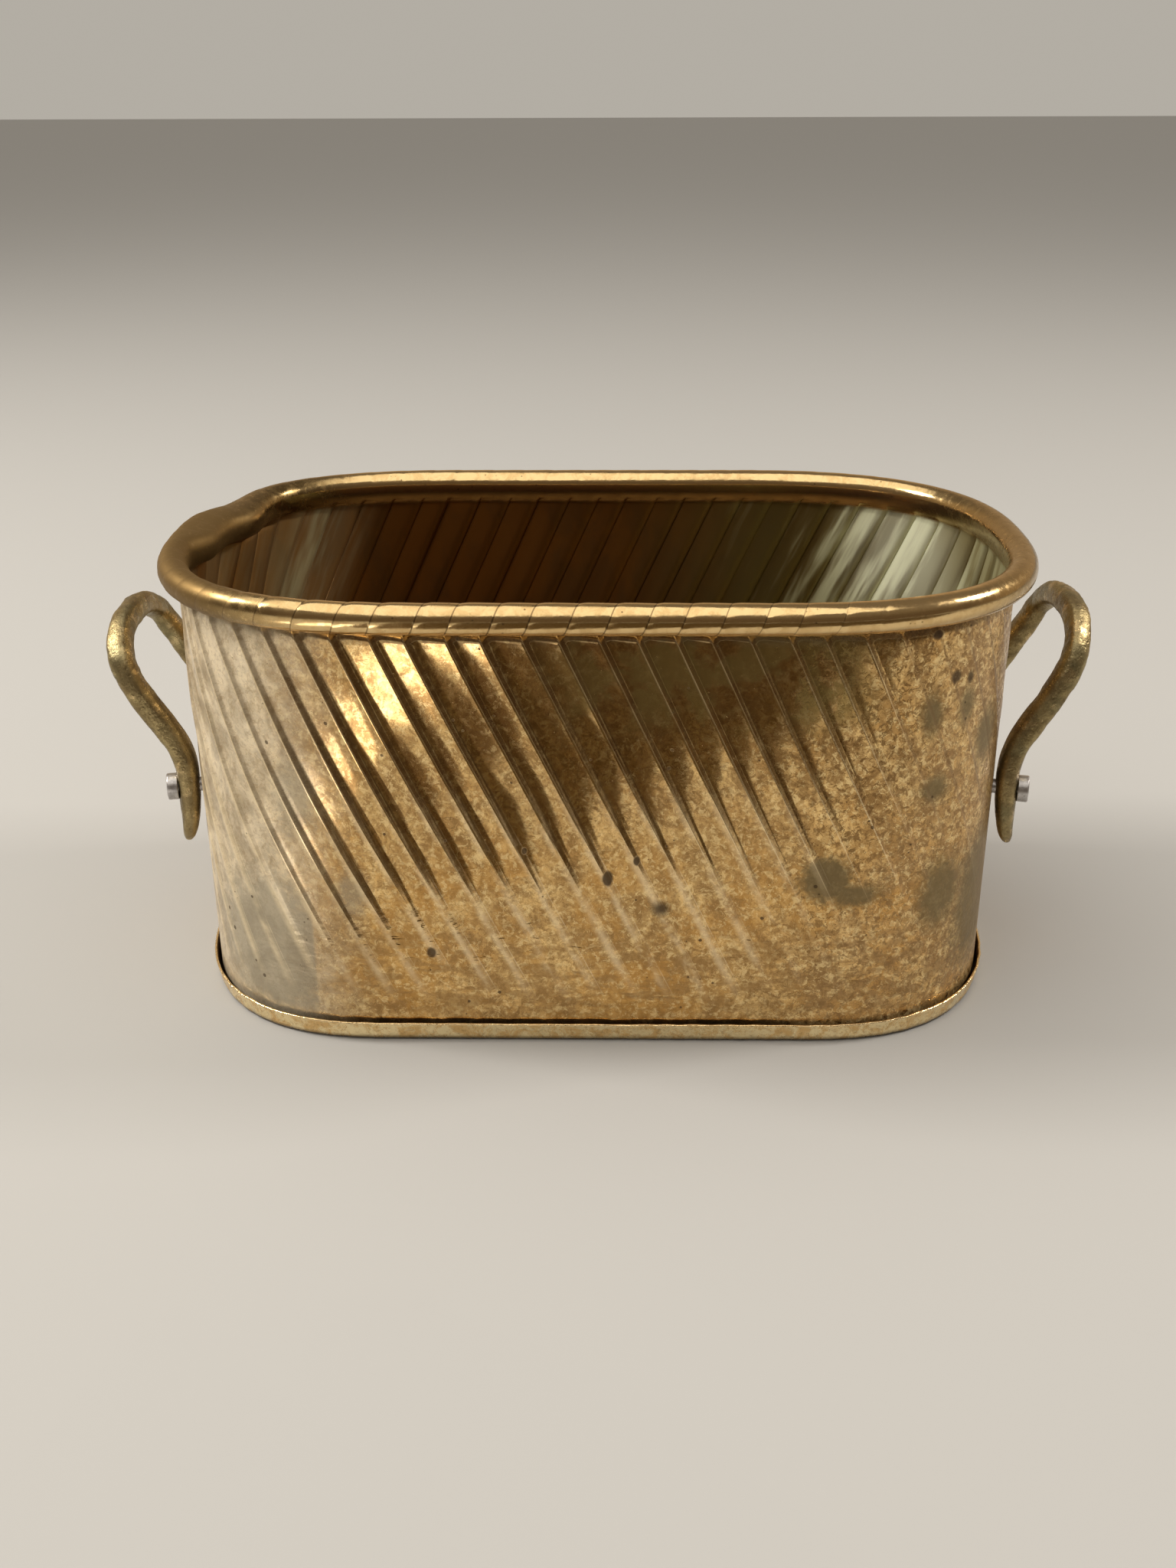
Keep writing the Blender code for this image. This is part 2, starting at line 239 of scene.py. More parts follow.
def wall_rows():
    z = list(np.linspace(WALL_FOOT_Z, 9 * MM, 4))
    z += list(np.linspace(11 * MM, 88.5 * MM, 34))
    z += [90.5 * MM, 91.6 * MM, 92.2 * MM]
    return z


def rim_path():
    """Places (outward, height) from the collar round the bead to its edge, and the way there."""
    radius = ROLL_RADIUS - SHEET
    path = [
        (-0.02 * MM, COLLAR_Z + 0.7 * MM),
        (-0.10 * MM, COLLAR_Z + 1.5 * MM),
        (ROLL_OUT - 0.66 * radius, ROLL_Z - 1.12 * radius),
        (ROLL_OUT - 0.84 * radius, ROLL_Z - 0.78 * radius),
        (ROLL_OUT - 0.955 * radius, ROLL_Z - 0.40 * radius),
    ]
    for angle in np.radians(np.linspace(180, -112, 29)):
        path.append((ROLL_OUT + radius * math.cos(angle), ROLL_Z + radius * math.sin(angle)))
    path = np.array(path)
    lengths = np.concatenate([[0], np.cumsum(np.linalg.norm(np.diff(path, axis=0), axis=1))])
    return path, lengths


def wall_band(share0, phase, depth):
    """Rows of points up the pleated wall, and how much of a crest each point is."""
    rows, crests = [], []
    for z in wall_rows():
        outline = outline_at(z)
        share = share0 + PLEAT_LEAN * (ROLL_Z - z) / PERIMETER
        strength = pleat_strength(share, z) * depth
        out = PLEAT_DEPTH * pleat_height(phase) * strength
        xy = outline.point(share) + outline.normal(share) * out[:, None]
        rows.append(np.column_stack([xy, np.full(len(xy), z)]))
        crests.append(bump(phase, CREST, CREST_WIDTH) * strength)
    return rows, crests


def creasing(share):
    """How deep the creases in the bead are: full near the middle of the front, faint at its right."""
    s = np.mod(share + 0.5, 1.0) - 0.5
    crease = 0.35 + 0.65 * bump(s, -0.03, 0.14)
    return crease * (1 - 0.8 * smooth(0.09, 0.13, s) * (1 - smooth(0.3, 0.4, s)))


def pressing(share, out, length):
    """How far the bead's inner side is squashed into the pot, over a stretch of the left end."""
    place = np.mod(share, 1.0)
    pressed = smooth(0.772, 0.745, place) * smooth(0.650, 0.735, place)
    inner = float(smooth(1.5 * MM, -2.0 * MM, out - ROLL_OUT))
    return pressed * inner * smooth(-1.2 * MM, 2.5 * MM, length)


def rim_band(share0, phase, depth):
    """Rows of points over the collar and round the bead, and how much of a crease each point is."""
    rows, crests = [], []
    height = pleat_height(phase)
    path, lengths = rim_path()
    first_share = share0 + PLEAT_LEAN * (ROLL_Z - path[0][1]) / PERIMETER
    for (out, z), length in zip(path, lengths):
        share = first_share - RIM_LEAN * length / PERIMETER
        angle = math.atan2(z - ROLL_Z, out - ROLL_OUT)
        pressed = pressing(share, out, length)
        if length <= COLLAR_LENGTH:
            run_out = pleat_strength(share, z) * depth * (1 - smooth(92.9 * MM, 94.6 * MM, z))
            out = out + PLEAT_DEPTH * height * run_out
        crease = creasing(share)
        relief = CREASE_DEPTH * height * crease * depth * smooth(4 * MM, 9 * MM, length)
        relief = relief * smooth(0, 1, length / COLLAR_LENGTH)
        out = out - PRESS_IN * pressed
        z = z - PRESS_DOWN * pressed
        out = out - relief * math.cos(angle)
        xy = RIM_OUTLINE.point(share) + RIM_OUTLINE.normal(share) * out[:, None]
        rows.append(np.column_stack([xy, z - relief * math.sin(angle)]))
        crests.append(bump(phase, CREST, CREST_WIDTH) * crease)
    return rows, crests


def build_wall():
    pleat = np.arange(PLEATS)
    base = (pleat[:, None] + PHASES[None, :]).ravel()
    phase = np.tile(PHASES, PLEATS)
    depth = np.repeat(1 + 0.16 * rng.normal(size=PLEATS), len(PHASES))
    jitter = np.repeat(rng.normal(size=PLEATS) * 0.035, len(PHASES)) * bump(phase, CREST, 0.3)
    share0 = (base + jitter) / PLEATS
    wall_points, wall_crests = wall_band(share0, phase, depth)
    rim_points, rim_crests = rim_band(share0, phase, depth)
    verts = wall_points + rim_points
    rows = len(verts)
    run = 2 * math.pi * np.tile(share0, rows)
    wall = mesh_object(
        "wall_sheet",
        deform(np.concatenate(verts)),
        grid_faces(rows, len(share0)),
        attributes={
            "crest": np.concatenate(wall_crests + rim_crests),
            "phase": np.tile(phase, rows),
            "run_x": PERIMETER / (2 * math.pi) * np.cos(run),
            "run_y": PERIMETER / (2 * math.pi) * np.sin(run),
        },
    )
    shell = wall.modifiers.new("sheet thickness", "SOLIDIFY")
    shell.thickness = SHEET
    shell.offset = -1.0
    shell.material_offset = 1
    shell.material_offset_rim = 1
    return wall


def build_wire():
    """The steel wire inside the bead, butted at the left end."""
    count, sides = 420, 14
    joint = 1.2 * MM / PERIMETER
    share = 0.75 + joint / 2 + (1 - joint) * np.linspace(0, 1, count)
    normal = RIM_OUTLINE.normal(share)
    centre = RIM_OUTLINE.point(share) + normal * ROLL_OUT
    verts = []
    for i in range(count):
        for k in range(sides):
            a = 2 * math.pi * k / sides
            xy = centre[i] + normal[i] * WIRE_RADIUS * math.cos(a)
            verts.append((*xy, ROLL_Z + WIRE_RADIUS * math.sin(a)))
    verts = deform(np.array(verts))
    faces = grid_faces(count, sides)
    faces.append(tuple(reversed(range(sides))))
    faces.append(tuple(range((count - 1) * sides, count * sides)))
    faces = [tuple(reversed(f)) for f in faces]
    return mesh_object("wire_in_bead", verts, faces, 40)


# ------------------------------------------------------------------ the pan
def build_pan():
    columns = 360
    share = np.arange(columns) / columns
    outline = outline_at(WALL_FOOT_Z)
    normal = outline.normal(share)
    side = SHEET + GAP
    wavy = 0.10 * MM * waves(21, 6, 3, 14, share) + 0.05 * MM * waves(22, 8, 20, 60, share)
    dings = 0.11 * MM * waves(23, 10, 60, 110, share)
    rows = []
    ring = [
        (side - 9 * MM, 0.0, 0.0, 0.0),
        (side - 3 * MM, 0.0, 0.0, 0.0),
        (side - 1.1 * MM, 0.0, 0.0, 0.0),
        (side - 0.45 * MM, 0.14 * MM, 0.1, 0.0),
        (side - 0.10 * MM, 0.50 * MM, 0.4, 0.0),
        (side + 0.05 * MM, 1.1 * MM, 0.8, 0.1),
        (side + 0.15 * MM, 1.9 * MM, 1.0, 0.25),
        (side + 0.28 * MM, 2.7 * MM, 1.0, 0.5),
        (side + 0.42 * MM, 3.4 * MM, 0.9, 0.8),
        (side + 0.56 * MM, 4.0 * MM, 0.7, 1.0),
        (side + 0.66 * MM, PAN_LIP - 0.12 * MM, 0.5, 1.0),
    ]
    for out, z, rough, wave in ring:
        offset = out + np.minimum(dings * rough, 0.06 * MM) + np.minimum(wavy * wave * 0.5, 0.02 * MM)
        xy = outline.point(share) + normal * offset[:, None]
        lift = np.clip(z + wavy * wave, 0.0, 4.55 * MM)
        rows.append(np.column_stack([xy, lift]))
    verts = np.concatenate(rows)
    faces = grid_faces(len(ring), columns)
    faces.append(tuple(reversed(range(columns))))
    pan = mesh_object("pan_sheet", verts, faces, 50)
    shell = pan.modifiers.new("sheet thickness", "SOLIDIFY")
    shell.thickness = SHEET
    shell.offset = -1.0
    shell.material_offset = 1
    return pan


# ------------------------------------------------------------------ the handles
HANDLE_ROUTE = np.array([
    (4.6, 1.06, 32.8), (3.6, 1.04, 37.5), (3.2, 1.01, 44.0), (3.2, 1.00, 50.5),
    (4.2, 1.00, 56.0), (7.0, 0.99, 62.0), (10.4, 0.98, 68.0), (13.6, 0.95, 74.5),
    (15.6, 0.84, 80.0), (16.7, 0.48, 84.5), (16.8, 0.00, 85.8),
])
HANDLE_RISE = {"right": 0.95, "left": 0.875}  # the left arch is a little lower
HANDLE_RISE_FROM_Z = 50.0
HANDLE_POWER = 2.9  # how square the bar's section is
TIP_ROWS = 5
HANDLE_SECTION = np.array([
    (1.6, 1.1), (3.6, 1.9), (4.4, 2.4), (4.4, 2.5), (3.8, 2.6), (3.1, 2.7),
    (2.9, 2.7), (2.9, 2.7), (2.9, 2.7), (2.9, 2.7), (2.9, 2.7),
])


def foot_frame(side):
    """The place on the wall of the front (-1) or rear (+1) rivet at the right, and the way out."""
    outline = outline_at(RIVET_Z)
    share = FRONT_FOOT if side < 0 else REAR_FOOT
    x, y = outline.point(share)
    return Vector((x, y, RIVET_Z)), Vector((*outline.normal(share, 0.004), 0.0))


def catmull(points, steps):
    """A smooth route through the points, with so many steps between neighbours."""
    ends = np.concatenate([[2 * points[0] - points[1]], points, [2 * points[-1] - points[-2]]])
    route = []
    for a, b, c, d in zip(ends, ends[1:], ends[2:], ends[3:]):
        for t in np.arange(steps) / steps:
            route.append(0.5 * (2 * b + (c - a) * t + (2 * a - 5 * b + 4 * c - d) * t**2
                                + (3 * b - a - 3 * c + d) * t**3))
    return np.array([*route, points[-1]])


def rough_skin(verts, centres, seed):
    """Take uneven amounts off a casting's skin, less of them near the wall."""
    spoke = verts - centres
    spoke /= np.linalg.norm(spoke, axis=1, keepdims=True) + 1e-9
    x, y, z = verts.T
    rough = 0.10 * waves(seed, 14, 90, 260, x, y, z) + 0.05 * waves(seed + 1, 16, 350, 800, x, y, z)
    lumps = 0.16 * waves(seed + 2, 8, 25, 70, x, y, z)
    removed = np.clip(rough + lumps, -0.45, 0.12) - 0.12
    inner = smooth(96.4 * MM, 94.0 * MM, x)
    return verts + spoke * (removed * MM * (1 - 0.6 * inner))[:, None]


def build_handle(name, end, turn, seed):
    """A cast bar with rough skin, whose section is a soft-cornered block."""
    wall_x = foot_frame(-1)[0].x
    height = HANDLE_ROUTE[:, 2].copy()
    height += np.maximum(height - HANDLE_RISE_FROM_Z, 0) * (HANDLE_RISE[end] - 1)
    half = np.column_stack([
        wall_x + HANDLE_ROUTE[:, 0] * MM, -HANDLE_ROUTE[:, 1] * FOOT_Y, height * MM,
        HANDLE_SECTION * MM,
    ])
    stations = catmull(np.concatenate([half, half[:-1][::-1] * [1, -1, 1, 1, 1]]), 9)
    places = stations[:, :3]
    sides = 36
    count = len(places)
    verts = []
    feet = [foot_frame(-1)[1], foot_frame(1)[1]]
    for i, place in enumerate(places):
        ahead = Vector(places[min(i + 1, count - 1)] - places[max(i - 1, 0)]).normalized()
        lean = min(max((place[2] - 53 * MM) / (14 * MM), 0), 1)
        face = feet[0 if place[1] < 0 else 1].lerp(Vector((1.0, 0.0, -0.35)), lean)
        face = (face - ahead * face.dot(ahead)).normalized()
        across = face.cross(ahead)
        width, thick = stations[i, 3:]
        from_tip = min(i, count - 1 - i)
        round_off = math.sqrt(max(1 - (1 - min(from_tip / TIP_ROWS, 1)) ** 2, 0.0))
        round_off = 0.25 + 0.75 * round_off
        for k in range(sides):
            a = 2 * math.pi * (k + 0.5) / sides
            c, s = math.cos(a), math.sin(a)
            u = width * round_off * math.copysign(abs(c) ** (2 / HANDLE_POWER), c)
            v = thick * round_off * math.copysign(abs(s) ** (2 / HANDLE_POWER), s)
            verts.append(Vector(place) + across * u + face * v)
    verts = rough_skin(np.array([tuple(v) for v in verts]), np.repeat(places, sides, axis=0), seed)
    faces = grid_faces(count, sides)
    faces.append(tuple(reversed(range(sides))))
    faces.append(tuple(range((count - 1) * sides, count * sides)))
    handle = mesh_object(name, verts, faces, 60)
    handle.data.transform(Matrix.Rotation(turn, 4, "Z"))
    return handle


# ------------------------------------------------------------------ the rivets
def foot_depth():
    """How far a handle's foot stands out from the wall at the rivet."""
    z = HANDLE_ROUTE[:, 2] * MM
    along = np.interp(RIVET_Z, z, HANDLE_ROUTE[:, 0] * MM) * foot_frame(1)[1].x
    return float(along + np.interp(RIVET_Z, z, HANDLE_SECTION[:, 1] * MM))


def rivet_profile(tail, top, head):
    """(radius, height) from the middle of the tail, down the shank, to the middle of the head."""
    edge = RIVET_TAIL_EDGE
    profile = [(0.0, top - 0.10 * MM), (1.2 * MM, top - 0.06 * MM), (2.2 * MM, top)]
    for a in np.radians([75, 50, 25, 0]):
        profile.append((RIVET_TAIL - edge + edge * math.cos(a), top - edge + edge * math.sin(a)))
    profile += [(RIVET_TAIL, tail + 0.12 * MM), (RIVET_TAIL - 0.1 * MM, tail), (RIVET_SHANK, tail)]
    profile += [(RIVET_SHANK, head), (RIVET_HEAD - 0.1 * MM, head), (RIVET_HEAD, head - 0.08 * MM)]
    for a in np.radians([15, 30, 45, 60, 75]):
        profile.append((RIVET_HEAD * math.cos(a), head - RIVET_HEAD_RISE * math.sin(a)))
    profile.append((0.0, head - RIVET_HEAD_RISE))
    return profile


def build_rivet(name, turn, side, seed):
    """A turned rivet: a flat tail outside the foot, a shank, and a domed head inside the wall."""
    tail = foot_depth() - 0.1 * MM
    top = foot_depth() + GAP + 2.0 * MM
    head = -(SHEET + 0.6 * MM)
    profile = rivet_profile(tail, top, head)
    sides = 40
    verts = [(0.0, 0.0, profile[0][1])]
    for radius, z in profile[1:-1]:
        for k in range(sides):
            a = 2 * math.pi * k / sides
            verts.append((radius * math.cos(a), radius * math.sin(a), z))
    verts.append((0.0, 0.0, profile[-1][1]))
    rings = len(profile) - 2
    faces = []
    for k in range(sides):
        n = (k + 1) % sides
        faces.append((0, 1 + k, 1 + n))
        last = 1 + (rings - 1) * sides
        faces.append((last + n, last + k, len(verts) - 1))
        for r in range(rings - 1):
            a, b = 1 + r * sides, 1 + (r + 1) * sides
            faces.append((a + k, b + k, b + n, a + n))
    points = np.array(verts)
    x, y, z = points.T
    on_tail = smooth(tail, top, z)
    points[:, 2] -= 0.07 * MM * np.clip(waves(seed, 8, 200, 500, x, y), 0, 1.5) * on_tail
    rivet = mesh_object(name, points, faces, 38)
    place, outward = foot_frame(side)
    aim = outward.to_track_quat("Z", "Y").to_matrix().to_4x4()
    rivet.data.transform(Matrix.Rotation(turn, 4, "Z") @ Matrix.Translation(place) @ aim)
    return rivet


# ------------------------------------------------------------------ material helpers
class Tree:
    """Short names for building a node tree."""

    def __init__(self, tree):
        self.tree = tree

    def link(self, value, socket):
        if isinstance(value, bpy.types.NodeSocket):
            self.tree.links.new(value, socket)
        elif value is not None:
            socket.default_value = value

    def add(self, kind, **settings):
        node = self.tree.nodes.new(kind)
        for key, value in settings.items():
            setattr(node, key, value)
        return node

    def axes(self, vector):
        split = self.add("ShaderNodeSeparateXYZ")
        self.link(vector, split.inputs[0])
        return split.outputs

    # numbers
    def math(self, operation, a, b=None):
        node = self.add("ShaderNodeMath", operation=operation)
        self.link(a, node.inputs[0])
        self.link(b, node.inputs[1])
        return node.outputs[0]

    def mul(self, a, b):
        return self.math("MULTIPLY", a, b)

    def sum(self, a, b):
        return self.math("ADD", a, b)

    def less(self, a, b):
        return self.math("SUBTRACT", a, b)

    def most(self, first, *others):
        for other in others:
            first = self.math("MAXIMUM", first, other)
        return first

    def ramp(self, value, low, high, to_low=0.0, to_high=1.0):
        """A smooth step from to_low at low to to_high at high, which may run downwards."""
        node = self.add("ShaderNodeMapRange", interpolation_type="SMOOTHSTEP", clamp=True)
        self.link(value, node.inputs["Value"])
        self.link(low, node.inputs["From Min"])
        self.link(high, node.inputs["From Max"])
        node.inputs["To Min"].default_value = to_low
        node.inputs["To Max"].default_value = to_high
        return node.outputs["Result"]

    def band(self, value, low_out, low_in, high_in, high_out):
        """1 between the two inner values, 0 outside the two outer ones."""
        return self.mul(self.ramp(value, low_out, low_in), self.ramp(value, high_out, high_in))

    def blend(self, amount, a, b):
        node = self.add("ShaderNodeMix", data_type="FLOAT")
        self.link(amount, node.inputs["Factor"])
        self.link(a, node.inputs["A"])
        self.link(b, node.inputs["B"])
        return node.outputs["Result"]

    # colours
    def mix(self, amount, a, b):
        node = self.add("ShaderNodeMix", data_type="RGBA")
        self.link(amount, node.inputs["Factor"])
        for value, socket in ((a, node.inputs["A"]), (b, node.inputs["B"])):
            self.link((*value, 1.0) if isinstance(value, tuple) else value, socket)
        return node.outputs["Result"]

    def stain(self, colour, *layers):
        """Lay (mask, strength, colour) stains over a colour, one after another."""
        for mask, strength, tint in layers:
            colour = self.mix(self.mul(mask, strength), colour, tint)
        return colour


class Nodes(Tree):
    """A material's tree. Texture sizes and spots are in mm, places in metres."""

    def __init__(self, name):
        self.material = bpy.data.materials.new(name)
        self.material.use_nodes = True
        super().__init__(self.material.node_tree)
        self.shader = self.tree.nodes["Principled BSDF"]
        self.place = self.add("ShaderNodeTexCoord").outputs["Object"]
        self.x, self.y, self.z = self.axes(self.place)

    def attribute(self, name):
        return self.add("ShaderNodeAttribute", attribute_name=name).outputs["Fac"]

    # textures
    def mapped(self, scale, location=(0, 0, 0), where=None):
        node = self.add("ShaderNodeMapping")
        self.link(where or self.place, node.inputs["Vector"])
        node.inputs["Location"].default_value = location
        node.inputs["Scale"].default_value = scale
        return node.outputs[0]

    def noise(self, size, detail=3.0, rough=0.55, distort=0.0, stretch=(1, 1, 1), where=None):
        node = self.add("ShaderNodeTexNoise")
        self.link(self.mapped([s * 1000 / size for s in stretch], where=where), node.inputs["Vector"])
        node.inputs["Scale"].default_value = 1.0
        node.inputs["Detail"].default_value = detail
        node.inputs["Roughness"].default_value = rough
        node.inputs["Distortion"].default_value = distort
        return node.outputs["Fac"]

    def patchy(self, low, high, *noise):
        """Noise with its contrast raised to blots."""
        return self.ramp(self.noise(*noise), low, high)

    def along_pleats(self, size, stretch, detail, rough):
        """Noise drawn out along the pleats."""
        join = self.add("ShaderNodeCombineXYZ")
        self.link(self.attribute("run_x"), join.inputs[0])
        self.link(self.attribute("run_y"), join.inputs[1])
        self.link(self.mul(self.z, stretch), join.inputs[2])
        return self.noise(size, detail, rough, where=join.outputs[0])

    def cells(self, size):
        """Distance to the nearest of a scatter of points."""
        node = self.add("ShaderNodeTexVoronoi")
        self.link(self.mapped([1000 / size] * 3), node.inputs["Vector"])
        node.inputs["Scale"].default_value = 1.0
        return node.outputs["Distance"]

    def spot(self, centre, size, soft, edge=None):
        """1 inside an ellipsoid round a place on the pot, 0 outside, with a ragged edge."""
        inside = self.mapped([1000 / s for s in size], [-c / s for c, s in zip(centre, size)])
        length = self.add("ShaderNodeVectorMath", operation="LENGTH")
        self.link(inside, length.inputs[0])
        reach = length.outputs["Value"]
        if edge is not None:
            reach = self.sum(reach, edge)
        return self.ramp(reach, 1.0 + soft, 1.0 - soft)

    def spots(self, places, edge=None):
        return self.most(*[self.spot(*place, edge) for place in places])

    # relief and the shader
    def relief(self, height, strength, distance, under=None):
        node = self.add("ShaderNodeBump")
        node.inputs["Strength"].default_value = strength
        node.inputs["Distance"].default_value = distance * MM
        self.link(height, node.inputs["Height"])
        self.link(under, node.inputs["Normal"])
        return node.outputs["Normal"]

    def output(self, colour, rough, metallic, normal):
        self.link(colour, self.shader.inputs["Base Color"])
        self.link(rough, self.shader.inputs["Roughness"])
        self.link(metallic, self.shader.inputs["Metallic"])
        self.link(normal, self.shader.inputs["Normal"])
        return self.material


# ------------------------------------------------------------------ the wall's materials
# Colours of the metal, of what has grown on it, and of painted highlights and shade (linear)
GOLD = (0.98, 0.68, 0.29)
DEEP_GOLD = (0.66, 0.385, 0.13)
GRAIN_GOLD = (1.0, 0.76, 0.37)
CREST_HIGHLIGHT_GOLD = (1.0, 0.80, 0.48)
LINE_GOLD = (1.0, 0.82, 0.52)
PALE = (0.88, 0.76, 0.55)
PALE_GREY = (0.46, 0.39, 0.27)
GREY = (0.36, 0.31, 0.22)
AMBER = (0.64, 0.34, 0.085)
BROWN = (0.38, 0.225, 0.085)
SMUDGE_BROWN = (0.31, 0.175, 0.062)
SPECK_BROWN = (0.30, 0.17, 0.06)
END_BROWN = (0.22, 0.125, 0.045)
STEP_SHADE_BROWN = (0.20, 0.115, 0.04)
OLIVE = (0.20, 0.145, 0.062)
GREEN_FILM = (0.30, 0.22, 0.072)
PIT = (0.055, 0.028, 0.010)

# Marks on the wall: centre and half-size in mm, then the softness of the edge
OLIVE_PATCHES = [
    ((48, -51, 40), (5.4, 9, 5.4), 0.30), ((54, -50, 36), (6.0, 9, 2.6), 0.55),
    ((74, -44, 33), (5.5, 12, 8), 0.50), ((84, -30, 26), (7, 18, 17), 0.45),
    ((68, -46, 75), (2.4, 8, 4.5), 0.60), ((76, -42, 75), (1.8, 8, 4.0), 0.60),
    ((70, -45, 58), (3.0, 8, 3.0), 0.60), ((82, -34, 66), (3.0, 10, 6.0), 0.60),
]
# the mark at the right end is partly a brown stain, partly painted shade down that end near the handle
RIGHT_END_STAIN_AND_SHADE = ((90, -24, 58), (6, 14, 42), 0.45)
LOW_LEFT_STAIN = ((-70, -46, 20), (15, 25, 17), 0.30)
LEFT_BLOTS = [((-62, -50, 58), (4, 9, 9), 0.5), ((-51, -51, 36), (3.4, 8, 5), 0.5)]
PITS = [
    ((2.6, -51, 40.3), (1.1, 4, 1.7), 0.25), ((8.6, -51, 44.5), (0.7, 4, 1.0), 0.3),
    ((-35, -51, 22), (1.0, 4, 1.3), 0.3), ((72.8, -45, 82), (1.3, 5, 1.6), 0.3),
    ((76.2, -43, 81), (0.9, 5, 1.6), 0.3), ((67.6, -47, 92), (1.2, 5, 1.0), 0.3),
    ((-14.6, -51, 46.7), (0.6, 4, 0.8), 0.3), ((13.8, -51, 33), (1.8, 4, 1.5), 0.8),
]


def brown_film(n, right, cloud, fine, smudge):
    """Gold under layers of brown film, amber low down, with bright grain worn through."""
    film = n.mul(n.patchy(0.42, 0.64, 22, 4, 0.6, 0.3), n.ramp(fine, 0.34, 0.60))
    dashes = n.patchy(0.46, 0.58, 3.0, 3, 0.6, 0.8, (0.34, 1.0, 1.0))
    return n.stain(
        n.mix(n.ramp(cloud, 0.36, 0.66), GOLD, DEEP_GOLD),
        (film, 0.70, BROWN),
        (n.patchy(0.50, 0.66, 2.4, 5, 0.7, 0.2, (1.0, 1.0, 0.22)), 0.30, BROWN),
        (n.ramp(n.along_pleats(7.0, 0.10, 2, 0.5), 0.46, 0.62), 0.40, BROWN),
        (n.patchy(0.49, 0.57, 2.2, 6, 0.78, 1.2), 0.58, BROWN),
        (n.patchy(0.53, 0.60, 4.2, 5, 0.7, 1.0), 0.42, BROWN),
        (n.patchy(0.52, 0.62, 0.6, 4, 0.8), 0.55, SPECK_BROWN),
        (smudge, n.blend(right, 0.58, 0.72), SMUDGE_BROWN),
        (n.mul(n.patchy(0.44, 0.60, 14, 4, 0.6, 0.5), n.ramp(n.z, 0.062, 0.030)), 0.50, AMBER),
        (n.patchy(0.52, 0.57, 1.7, 6, 0.80, 0.6), 0.62, GRAIN_GOLD),
        (n.mul(dashes, n.band(n.z, 0.004, 0.010, 0.020, 0.036)), 0.65, BROWN),
    )


def pitting(n, right):
    """A scatter of dark dots, finer and thicker at the right, and the larger pits one by one."""
    growth = n.mul(n.patchy(0.50, 0.78, 7, 2, 0.5), 0.17)
    dots = n.ramp(n.less(n.cells(3.1), growth), 0.05, 0.0)
    specks = n.mul(n.ramp(n.cells(1.25), 0.15, 0.06), n.patchy(0.52, 0.66, 5, 3, 0.6))
    return n.most(n.mul(dots, 0.85), n.mul(specks, n.blend(right, 0.45, 0.9)), n.spots(PITS))


def pleat_lines(n):
    """Masks of the painted highlight along the crests, the painted shade in the steps, and the pale lines
    low on the wall.
    """
    phase = n.attribute("phase")
    # painted highlight: a bright gold line along each crest
    crest = n.ramp(n.attribute("crest"), 0.35, 0.95)
    # painted shade: the step after each crest darkened, more higher up and less at the left end
    step = n.mul(n.band(phase, 0.81, 0.84, 0.95, 0.99), n.ramp(n.z, 0.034, 0.066))
    step = n.mul(step, n.ramp(n.x, -0.080, -0.056, 0.25, 1.0))
    from_crest = n.math("ABSOLUTE", n.less(phase, CREST - 0.04))
    line = n.mul(n.ramp(from_crest, 0.22, 0.0), n.band(n.z, 0.008, 0.020, 0.050, 0.066))
    broken = n.ramp(n.along_pleats(8, 0.6, 4, 0.7), 0.34, 0.58)
    return crest, step, n.mul(line, n.mul(broken, n.ramp(n.x, 0.062, 0.020)))


def wall_relief(n, fine, pit):
    """Hammer marks, ripples near the foot, scratches, grain and pits."""
    ripple = n.mul(n.noise(2.6, 3, 0.55, 0.4, (0.30, 1, 1.0)),
                   n.band(n.z, 0.004, 0.012, 0.022, 0.034))
    normal = n.relief(n.noise(7, 2, 0.5), 0.10, 0.20)
    normal = n.relief(ripple, 0.85, 0.40, normal)
    normal = n.relief(n.noise(0.35, 2, 0.6, 0, (0.16, 1, 1.0)), 0.05, 0.03, normal)
    return n.relief(n.less(fine, n.mul(pit, 0.8)), 0.08, 0.06, normal)


